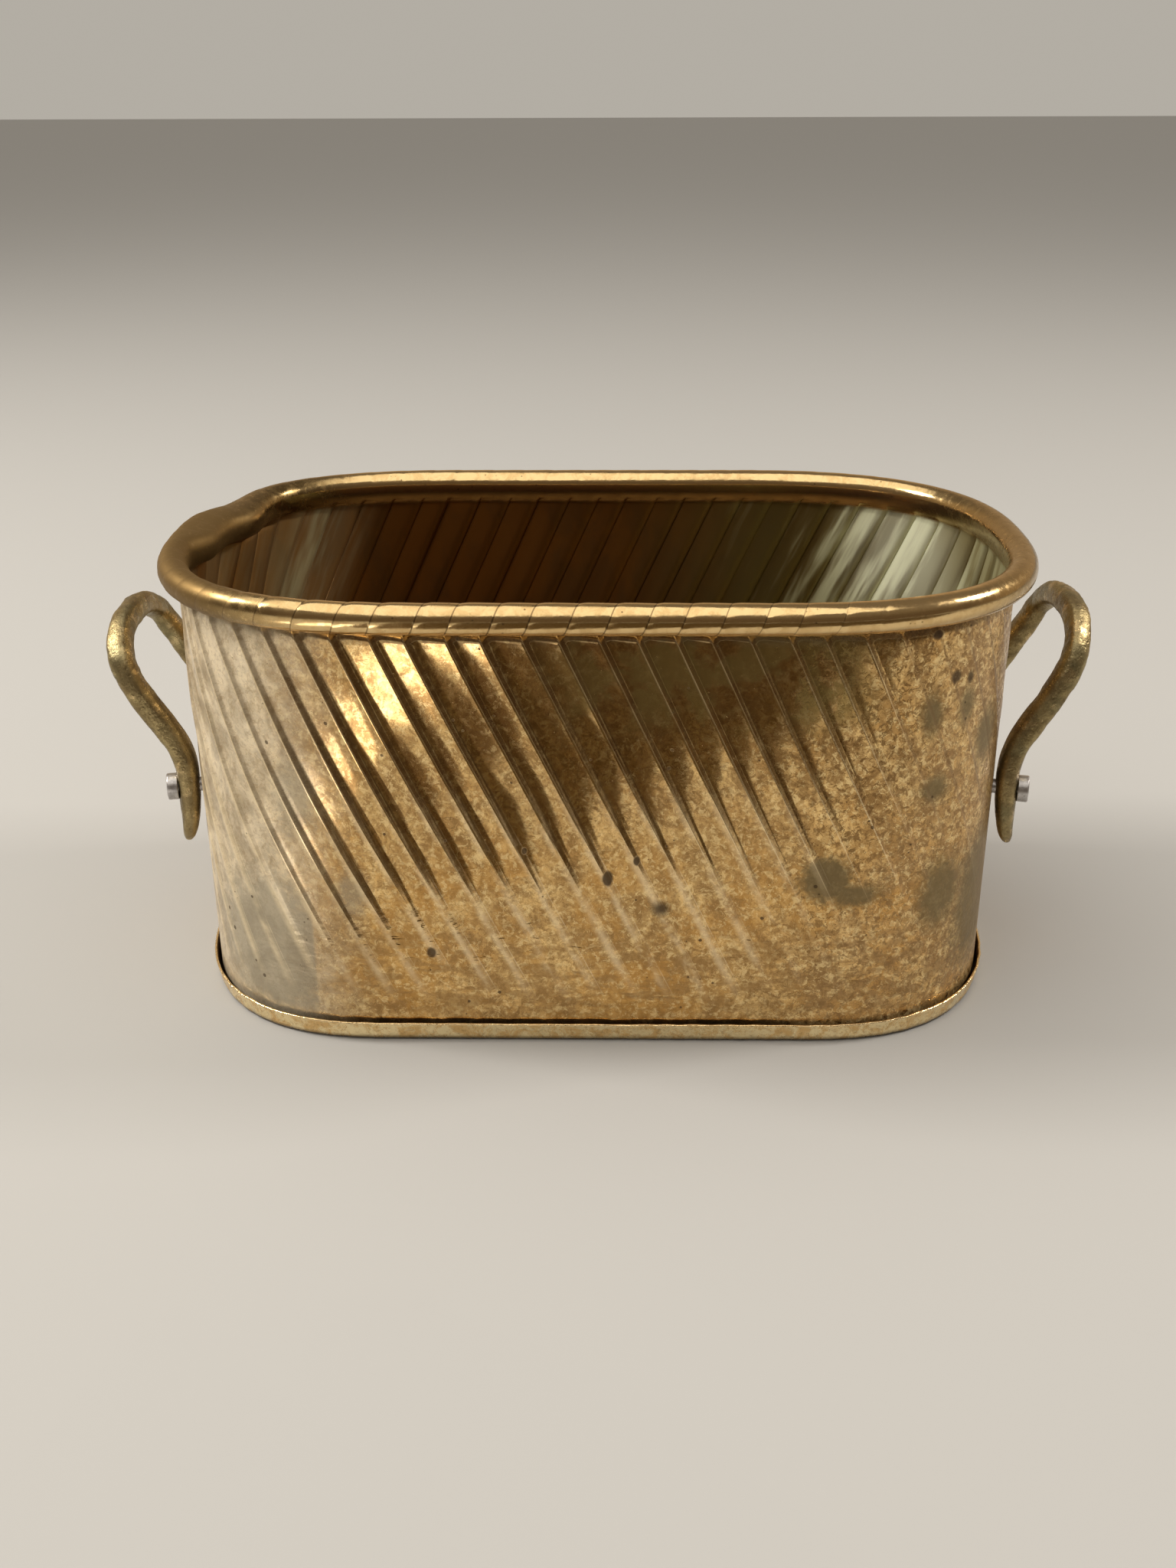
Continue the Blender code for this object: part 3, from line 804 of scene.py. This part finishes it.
def outer_brass():
    """The sheet's outer side, with its brown film, patches, pits and worn pleats, a painted highlight on
    the crests, and painted shade in the steps and under the bead.
    """
    n = Nodes("brass_wall_outside")
    cloud = n.noise(9, 5, 0.62, 0.4)
    fine = n.noise(1.6, 5, 0.7)
    ragged = n.less(n.mul(n.noise(3.2, 6, 0.7, 0.6), 1.1), 0.55)
    smudge = n.patchy(0.50, 0.57, 5.5, 7, 0.74, 1.5)
    speckle = n.patchy(0.51, 0.56, 1.5, 7, 0.80, 0.6)
    # regions: a pale left end, a worn right one, and tarnish high on the front
    left = n.ramp(n.sum(n.x, n.mul(ragged, 0.012)), -0.046, -0.072)
    left = n.mul(left, n.ramp(n.sum(n.y, n.mul(ragged, 0.030)), 0.020, -0.030, 0.30, 1.0))
    right = n.ramp(n.x, 0.025, 0.055)
    matt = n.mul(n.ramp(n.less(n.x, n.mul(n.z, 0.35)), 0.032, 0.050), n.ramp(fine, 0.30, 0.55))
    high = n.mul(n.ramp(n.sum(n.z, n.mul(ragged, 0.010)), 0.070, 0.080),
                 n.band(n.x, -0.020, 0.004, 0.046, 0.060))
    greenish = n.mul(high, n.ramp(cloud, 0.44, 0.56))
    # painted shade: a grey darkening just under the bead
    painted_shade_under_bead = n.ramp(n.sum(n.z, n.mul(ragged, 0.004)), 0.0910, 0.0935)
    # marks
    patch = n.spots(OLIVE_PATCHES, ragged)
    # partly stain, partly painted shade: darker brown down the right end near the handle
    right_end = n.mul(n.spot(*RIGHT_END_STAIN_AND_SHADE, ragged), n.ramp(fine, 0.38, 0.56))
    low_left = n.mul(n.ramp(n.x, -0.0600, -0.0608), n.spot(*LOW_LEFT_STAIN, ragged))
    grey_stain = n.most(low_left, n.mul(n.spots(LEFT_BLOTS, ragged), 0.8))
    pit = pitting(n, right)
    crest, step, line = pleat_lines(n)
    colour = n.stain(
        brown_film(n, right, cloud, fine, smudge),
        (left, 0.80, n.mix(n.ramp(cloud, 0.36, 0.66), PALE, PALE_GREY)),
        (speckle, n.blend(right, 0.32, 0.80), SPECK_BROWN),
        (patch, 0.88, OLIVE),
        (right_end, 0.70, END_BROWN),
        (grey_stain, 0.72, GREY),
        (high, 0.35, BROWN),
        (greenish, 0.75, GREEN_FILM),
        (painted_shade_under_bead, 0.30, GREY),
        (crest, 0.72, CREST_HIGHLIGHT_GOLD),
        (step, 0.45, STEP_SHADE_BROWN),
        (line, 0.50, LINE_GOLD),
        (pit, 0.85, PIT),
    )
    # sheen
    rough = n.sum(n.blend(n.ramp(cloud, 0.35, 0.68), 0.05, 0.12), n.mul(smudge, 0.07))
    for mask, value in (
        (n.mul(left, 0.8), 0.36), (matt, 0.34), (n.mul(speckle, right), 0.42), (patch, 0.44), (pit, 0.6),
    ):
        rough = n.blend(mask, rough, value)
    rough = n.sum(rough, n.mul(n.noise(0.45, 3, 0.7), 0.05))
    dull = n.most(n.mul(patch, 0.5), n.mul(pit, 0.6), n.mul(n.most(left, matt), 0.6),
                  n.mul(greenish, 0.22))
    return n.output(colour, rough, n.blend(dull, 0.95, 0.25), wall_relief(n, fine, pit))


BEAD_SKIN_Z = (0.0926, 0.0938)  # the inner skin turns from tarnish to polish between these heights
INNER_RED = (0.30, 0.135, 0.030)
INNER_BROWN = (0.24, 0.12, 0.035)
INNER_OLIVE = (0.24, 0.20, 0.075)
# INNER_PALE and INNER_BRIGHT at BRIGHT_CORNER are painted light: a pale pool of window light inside the pot
# and a bright glow in its right rear corner
INNER_PALE = (0.78, 0.78, 0.48)
INNER_BRIGHT = (0.94, 0.95, 0.72)
INNER_LINE = (0.62, 0.42, 0.14)
INNER_LOW = (0.22, 0.12, 0.045)
BRIGHT_CORNER = ((76, 38, 82), (11, 16, 15), 0.8)


def inner_film_and_painted_light(n, streak, lit_right, lit_left):
    """Brown film inside the pot, olive at the right, darker low down, faint pleat lines, and painted light:
    a pale pool at the right and left rear, a bright glow in the right rear corner.
    """
    cloud = n.noise(12, 4, 0.6, 0.4, (1, 1, 0.5))
    return n.stain(
        n.mix(n.ramp(cloud, 0.40, 0.62), INNER_RED, INNER_BROWN),
        (n.ramp(n.x, 0.000, 0.045), 0.8, INNER_OLIVE),
        (n.most(lit_right, lit_left), n.blend(streak, 0.18, 1.0), INNER_PALE),
        (n.spot(*BRIGHT_CORNER, n.mul(streak, -0.3)), 0.50, INNER_BRIGHT),
        (n.mul(n.ramp(n.attribute("crest"), 0.35, 0.95), n.ramp(n.x, -0.012, 0.010)), 0.5, INNER_LINE),
        (n.ramp(n.z, 0.070, 0.015), 0.4, INNER_LOW),
    )


def bead_gold(n, ends, left_end, worn, fine):
    """The bead's polished gold, brown at the ends, dark in its creases and dots."""
    dots = n.mul(n.ramp(n.cells(1.6), 0.16, 0.06), n.patchy(0.50, 0.62, 6, 3, 0.6))
    return n.stain(
        n.mix(n.mul(worn, 0.5), (0.88, 0.64, 0.31), (0.66, 0.42, 0.165)),
        (n.sum(0.14, n.mul(ends, 0.80)), n.ramp(fine, 0.18, 0.48), (0.26, 0.175, 0.07)),
        (left_end, 0.80, (0.21, 0.13, 0.045)),
        (n.ramp(n.attribute("crest"), 0.30, 0.8), 0.75, (0.13, 0.075, 0.03)),
        (dots, 0.8, PIT),
    )


def inner_brass():
    """The sheet's other side: dark inside the pot with painted pools of light, and the polished skin of the
    bead above.
    """
    n = Nodes("brass_wall_inside")
    fine = n.noise(1.2, 5, 0.7)
    worn = n.patchy(0.42, 0.62, 3.0, 5, 0.7, 0.5)
    streak = n.ramp(n.along_pleats(8.5, 0.12, 4, 0.65), 0.42, 0.60)
    # painted light: pale where window light falls inside, at the right end and in a slanted band at the
    # left rear, streaked along the pleats; it also makes the metal less metallic there
    lit_right = n.ramp(n.sum(n.x, n.mul(streak, 0.024)), 0.052, 0.100)
    lit_right = n.mul(lit_right, n.ramp(n.x, 0.092, 0.080, 0.40, 1.0))
    leaning = n.sum(n.x, n.mul(n.sum(n.z, -0.080), -0.35))
    lit_left = n.mul(n.band(leaning, -0.084, -0.073, -0.069, -0.058), n.ramp(n.y, 0.0, 0.016))
    lit_left = n.most(n.mul(lit_left, 0.52), n.mul(n.ramp(n.x, -0.058, -0.080), 0.12))
    bead = n.ramp(n.z, *BEAD_SKIN_Z)
    ends = n.most(n.ramp(n.x, -0.054, -0.076), n.mul(n.ramp(n.x, 0.070, 0.088), 0.7))
    left_end = n.mul(n.ramp(n.x, -0.066, -0.082), n.ramp(n.y, 0.030, 0.010))
    colour = n.mix(bead, inner_film_and_painted_light(n, streak, lit_right, lit_left),
                   bead_gold(n, ends, left_end, worn, fine))
    bead_rough = n.blend(ends, n.blend(worn, 0.10, 0.20), n.blend(worn, 0.16, 0.34))
    bead_rough = n.blend(left_end, bead_rough, 0.50)
    rough = n.blend(bead, n.blend(lit_right, 0.46, 0.38), bead_rough)
    rough = n.sum(rough, n.mul(fine, 0.06))
    normal = n.relief(fine, 0.14, 0.10, n.relief(n.noise(5, 3, 0.5), 0.25, 0.25))
    dull_where_painted_lit = n.mul(n.most(lit_right, n.mul(lit_left, 0.7)), n.ramp(n.z, *reversed(BEAD_SKIN_Z)))
    return n.output(colour, rough, n.blend(dull_where_painted_lit, 0.97, 0.35), normal)


# ------------------------------------------------------------------ the other materials
def pan_brass():
    n = Nodes("brass_pan")
    worn = n.noise(3.5, 5, 0.7, 0.4)
    fine = n.noise(0.8, 5, 0.7)
    colour = n.stain(
        n.mix(n.ramp(worn, 0.42, 0.62), (1.0, 0.82, 0.47), (0.80, 0.54, 0.23)),
        (n.ramp(fine, 0.52, 0.62), 0.40, BROWN),
        (n.ramp(n.z, 0.0016, 0.0004), 0.6, (0.16, 0.095, 0.04)),
        (n.ramp(n.z, 0.0038, 0.0043), 0.6, (0.95, 0.74, 0.42)),
    )
    marks = n.relief(n.noise(2.2, 3, 0.6, 0.2, (1.4, 1.4, 0.45)), 0.7, 0.45)
    rough = n.blend(n.ramp(worn, 0.40, 0.62), 0.20, 0.36)
    return n.output(colour, rough, 0.96, n.relief(fine, 0.2, 0.12, marks))


def pan_inside():
    """Tarnish on the pan's floor, inside the pot and in the crack round the wall's foot."""
    n = Nodes("brass_pan_inside")
    cloud = n.noise(8, 5, 0.65, 0.4)
    colour = n.mix(n.ramp(cloud, 0.38, 0.62), (0.16, 0.10, 0.045), (0.08, 0.05, 0.022))
    return n.output(colour, n.blend(cloud, 0.42, 0.60), 0.9, n.relief(n.noise(1.0, 5, 0.7), 0.3, 0.15))


def cast_brass():
    """Dull olive castings, rubbed gold on their ridges."""
    n = Nodes("brass_casting")
    fine = n.noise(0.7, 6, 0.75)
    rub = n.patchy(0.56, 0.68, 4, 4, 0.6)
    ridge = n.ramp(n.add("ShaderNodeNewGeometry").outputs["Pointiness"], 0.505, 0.56)
    colour = n.stain(
        n.mix(n.patchy(0.40, 0.60, 6, 5, 0.65, 0.3), (0.36, 0.28, 0.13), (0.20, 0.15, 0.068)),
        (n.ramp(fine, 0.50, 0.66), 0.6, (0.13, 0.085, 0.035)),
        (ridge, 0.75, (0.66, 0.50, 0.26)),
        (rub, 0.55, (0.70, 0.52, 0.26)),
        (n.patchy(0.50, 0.66, 9, 3, 0.5), 0.35, (0.25, 0.24, 0.13)),
    )
    rough = n.blend(rub, n.blend(n.ramp(fine, 0.35, 0.65), 0.26, 0.46), 0.20)
    normal = n.relief(n.noise(2.4, 4, 0.6, 0.3), 0.60, 0.45)
    normal = n.relief(n.ramp(n.cells(0.9), 0.10, 0.42), 0.30, 0.15, normal)
    return n.output(colour, rough, 0.88, n.relief(fine, 0.45, 0.20, normal))


def rivet_metal():
    n = Nodes("rivet_alloy")
    fine = n.noise(0.5, 5, 0.7)
    colour = n.mix(n.patchy(0.40, 0.62, 2.2, 4, 0.6), (0.60, 0.58, 0.56), (0.40, 0.38, 0.37))
    colour = n.stain(colour, (n.ramp(fine, 0.56, 0.68), 0.6, (0.16, 0.14, 0.12)))
    rough = n.blend(n.ramp(fine, 0.35, 0.65), 0.30, 0.50)
    return n.output(colour, rough, 0.95, n.relief(fine, 0.35, 0.12))


def wire_steel():
    n = Nodes("wire_steel")
    fine = n.noise(0.8, 4, 0.7)
    colour = n.mix(n.ramp(fine, 0.42, 0.62), (0.40, 0.38, 0.36), (0.20, 0.14, 0.09))
    return n.output(colour, n.blend(fine, 0.35, 0.6), 0.95, n.relief(fine, 0.3, 0.1))


# ------------------------------------------------------------------ build the pot
wall = build_wall()
wall.data.materials.append(outer_brass())
wall.data.materials.append(inner_brass())
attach(wall, "root")
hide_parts("body_wall")

wire = build_wire()
wire.data.materials.append(wire_steel())
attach(wire, "root")
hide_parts("rim_wire")

pan = build_pan()
pan.data.materials.append(pan_brass())
pan.data.materials.append(pan_inside())
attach(pan, "root")
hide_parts("base_pan")

casting = cast_brass()
alloy = rivet_metal()
for end, turn, seed in (("right", 0.0, 40), ("left", math.pi, 50)):
    handle = build_handle(f"casting_{end}", end, turn, seed)
    handle.data.materials.append(casting)
    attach(handle, "root")
    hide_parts(f"handle_{end}")
    for side in (-1, 1):
        where = "front" if side * math.cos(turn) < 0 else "rear"
        rivet = build_rivet(f"turned_rivet_{end}_{where}", turn, side, seed + side)
        rivet.data.materials.append(alloy)
        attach(rivet, "root")
        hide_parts(f"rivet_{end}_{where}")


# ------------------------------------------------------------------ floor, light and camera
def plain(name, colour, rough=0.9, glow=0.0):
    material = bpy.data.materials.new(name)
    material.use_nodes = True
    shader = material.node_tree.nodes["Principled BSDF"]
    shader.inputs["Base Color"].default_value = (*colour, 1)
    shader.inputs["Roughness"].default_value = rough
    shader.inputs["Specular IOR Level"].default_value = 0.2
    if glow:
        shader.inputs["Emission Color"].default_value = (*colour, 1)
        shader.inputs["Emission Strength"].default_value = glow
    return material


def card(name, corners, material, unseen=True):
    """A flat studio card given by its corners. An unseen one only shows in reflections."""
    mesh = bpy.data.meshes.new(name)
    mesh.from_pydata(corners, [], [tuple(range(len(corners)))])
    obj = bpy.data.objects.new(name, mesh)
    bpy.context.scene.collection.objects.link(obj)
    mesh.materials.append(material)
    if unseen:
        obj.visible_camera = False
        obj.visible_diffuse = False
        obj.visible_shadow = False
        obj.visible_transmission = False
    return obj


def area(name, place, aim, size, power, colour):
    light = bpy.data.lights.new(name, "AREA")
    light.shape = "RECTANGLE"
    light.size, light.size_y = size
    light.energy = power
    light.color = colour
    obj = bpy.data.objects.new(name, light)
    bpy.context.scene.collection.objects.link(obj)
    obj.location = place
    obj.rotation_euler = (Vector(aim) - Vector(place)).to_track_quat("-Z", "Y").to_euler()
    return obj


FLOOR_HALF = 6.0
FLOOR_Z = -0.0002
FLOOR_COLOUR = (0.385, 0.372, 0.348)
# Outlines in mm of the cards on the floor in front of the pot, which only the metal sees: the dark card is
# painted shade standing in for the shadow across the floor in front, the brown one beside it a dimmer
# stretch, and the bright one glows
CARD_Z = 0.6 * MM
SHADOW_CARD = [
    (-46, -128), (-30, -126), (-18, -136), (5, -146), (20, -160), (36, -175), (50, -190), (85, -203),
    (120, -206), (165, -204), (215, -206), (275, -198), (340, -215), (1000, -460), (1000, -1500),
    (-200, -1500), (-70, -300), (-52, -175),
]
BROWN_CARD = [
    (-46, -160), (-50, -150), (-60, -140), (-70, -130), (-79, -142), (-90, -168), (-102, -262),
    (-200, -1500), (-70, -300), (-52, -175),
]
BRIGHT_SHEET = [(-156, -120), (-122, -120), (-103, -150), (-104, -256), (-156, -262)]
WARM_WHITE = (1.0, 0.96, 0.90)
LIGHT_AIM = (0, 0, 0.05)
CAMERA_PITCH, CAMERA_ROLL, CAMERA_YAW = np.radians([25.27, -0.21, -0.86]).tolist()
CAMERA_PLACE = (0.0028, -0.3311, 0.1942)
CAMERA_LENS = 35.16


def lay_cards():
    reach = FLOOR_HALF
    floor = [(-reach, -reach), (reach, -reach), (reach, reach), (-reach, reach)]
    card("floor", [(*corner, FLOOR_Z) for corner in floor], plain("floor_pale", FLOOR_COLOUR), unseen=False)
    # the dark card stands in for the shadow across the floor in front, seen only in the metal
    for name, corners, material in (
        ("shadow_card", SHADOW_CARD, plain("shadow_card_dark", (0.046, 0.028, 0.007))),
        ("brown_card", BROWN_CARD, plain("card_brown", (0.085, 0.060, 0.036))),
        ("bright_sheet", BRIGHT_SHEET, plain("sheet_bright", (1.0, 0.96, 0.93), glow=1.3)),
    ):
        card(name, [(cx * MM, cy * MM, CARD_Z) for cx, cy in corners], material)


def surround():
    """A brown room for the metal to mirror, which looks pale to the floor and to the camera."""
    world = bpy.data.worlds.new("studio")
    bpy.context.scene.world = world
    world.use_nodes = True
    world.node_tree.nodes.clear()
    n = Tree(world.node_tree)
    _, backward, upward = n.axes(n.add("ShaderNodeTexCoord").outputs["Generated"])
    walls = n.mix(n.ramp(backward, -0.3, 0.5), (0.10, 0.07, 0.045), (0.44, 0.32, 0.19))
    room = n.mix(n.ramp(upward, 0.30, 0.65), walls, (0.16, 0.13, 0.10))
    rays = n.add("ShaderNodeLightPath").outputs
    fill = n.mix(rays["Is Diffuse Ray"], room, (0.42, 0.395, 0.36))
    background = n.add("ShaderNodeBackground")
    n.link(n.mix(rays["Is Camera Ray"], fill, (0.45, 0.42, 0.37)), background.inputs["Color"])
    n.link(background.outputs[0], n.add("ShaderNodeOutputWorld").inputs["Surface"])


def hang_lights():
    area("window_left", (-0.95, 0.05, 0.85), LIGHT_AIM, (0.30, 0.26), 10.5, (1.0, 0.97, 0.93))
    area("window_right", (0.95, 0.10, 0.80), LIGHT_AIM, (0.24, 0.22), 7.0, (1.0, 0.96, 0.92))
    area("overhead", (-0.20, -0.16, 1.12), LIGHT_AIM, (1.7, 1.2), 8.0, WARM_WHITE)
    sky = bpy.data.lights.new("soft_sky", "SUN")
    sky.energy = 0.8
    sky.angle = math.radians(60)
    sky.color = WARM_WHITE
    sky_object = bpy.data.objects.new("soft_sky", sky)
    bpy.context.scene.collection.objects.link(sky_object)
    sky_object.rotation_euler = (math.radians(8), math.radians(-34), 0)
    sky_object.visible_glossy = False


def place_camera():
    """The camera that was fitted to the photograph."""
    flat = math.cos(CAMERA_PITCH)
    ahead = Vector((math.sin(CAMERA_YAW) * flat, math.cos(CAMERA_YAW) * flat, -math.sin(CAMERA_PITCH)))
    level = Vector((math.cos(CAMERA_YAW), -math.sin(CAMERA_YAW), 0))
    above = level.cross(ahead)
    right = level * math.cos(CAMERA_ROLL) + above * math.sin(CAMERA_ROLL)
    top = above * math.cos(CAMERA_ROLL) - level * math.sin(CAMERA_ROLL)
    lens = bpy.data.cameras.new("camera")
    lens.sensor_fit = "VERTICAL"
    lens.sensor_height = 36.0
    lens.lens = CAMERA_LENS
    lens.clip_start = 0.01
    camera = bpy.data.objects.new("camera", lens)
    bpy.context.scene.collection.objects.link(camera)
    turn = Matrix((right, top, -ahead)).transposed().to_4x4()
    camera.matrix_world = Matrix.Translation(CAMERA_PLACE) @ turn
    bpy.context.scene.camera = camera


lay_cards()
surround()
hang_lights()
place_camera()
bpy.context.scene.view_settings.view_transform = "Standard"
